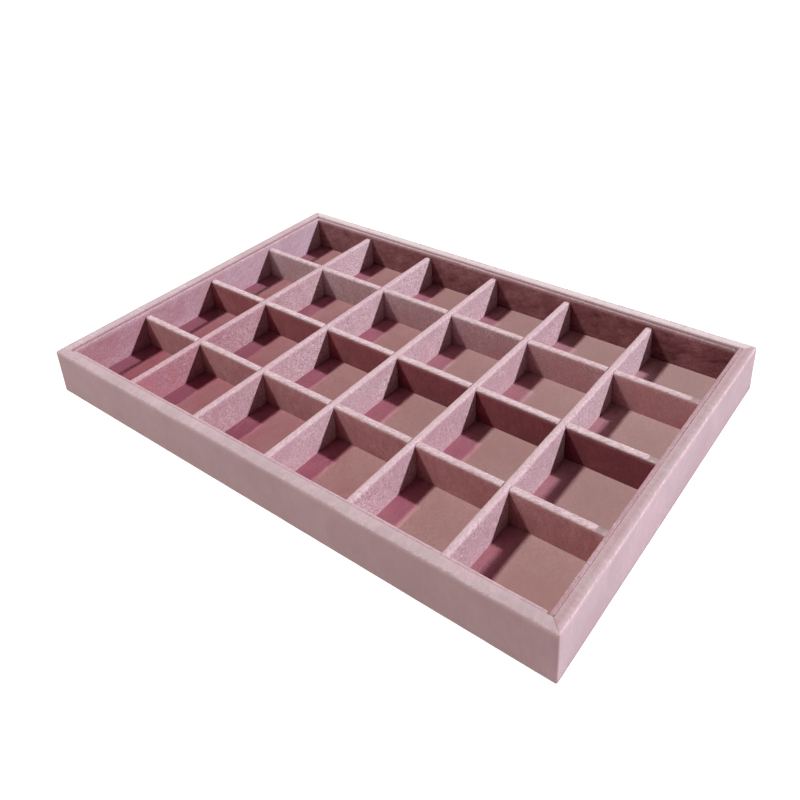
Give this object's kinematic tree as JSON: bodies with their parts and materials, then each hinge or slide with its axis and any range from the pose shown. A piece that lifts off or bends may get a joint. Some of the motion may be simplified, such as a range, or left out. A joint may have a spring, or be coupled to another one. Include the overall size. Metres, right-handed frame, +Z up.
{
  "type": "jewelry tray",
  "caption": "Shallow velvet-covered display tray with a square rim and a half-lapped grid of wrapped dividers that makes open compartments for rings and earrings.",
  "frame": {"origin": "centre of the underside, on the surface that the tray stands on", "axes": "+X along the long side, +Y along the short side to the back, +Z up out of the compartments"},
  "size_m": [0.35, 0.24, 0.03],
  "materials": {
    "frame_velvet": "short-pile velvet, dusty pink",
    "liner_velvet": "short-pile velvet, dusty pink",
    "divider_velvet": "short-pile velvet, dusty pink",
    "floor_velvet": "short-pile velvet with a fine rib, dusty pink",
    "base_felt": "pressed felt, muted rose",
    "frame_board": "bare fibreboard",
    "divider_board": "bare fibreboard",
    "base_board": "hardboard",
    "card": "grey card"
  },
  "bodies": {
    "root": {"frame_rail_front": "frame_board", "frame_rail_back": "frame_board", "frame_rail_left": "frame_board", "frame_rail_right": "frame_board", "frame_wrap": "frame_velvet", "base_panel": "base_board", "base_lining": "base_felt", "floor_card": "card", "floor_velvet": "floor_velvet", "liner_card_front": "card", "liner_card_back": "card", "liner_card_left": "card", "liner_card_right": "card", "liner_velvet_front": "liner_velvet", "liner_velvet_back": "liner_velvet", "liner_velvet_left": "liner_velvet", "liner_velvet_right": "liner_velvet", "long_divider_board_1": "divider_board", "long_divider_board_2": "divider_board", "long_divider_board_3": "divider_board", "long_divider_sleeve_1": "divider_velvet", "long_divider_sleeve_2": "divider_velvet", "long_divider_sleeve_3": "divider_velvet", "short_divider_board_1": "divider_board", "short_divider_board_2": "divider_board", "short_divider_board_3": "divider_board", "short_divider_board_4": "divider_board", "short_divider_board_5": "divider_board", "short_divider_sleeve_1": "divider_velvet", "short_divider_sleeve_2": "divider_velvet", "short_divider_sleeve_3": "divider_velvet", "short_divider_sleeve_4": "divider_velvet", "short_divider_sleeve_5": "divider_velvet"}
  },
  "joints": []
}
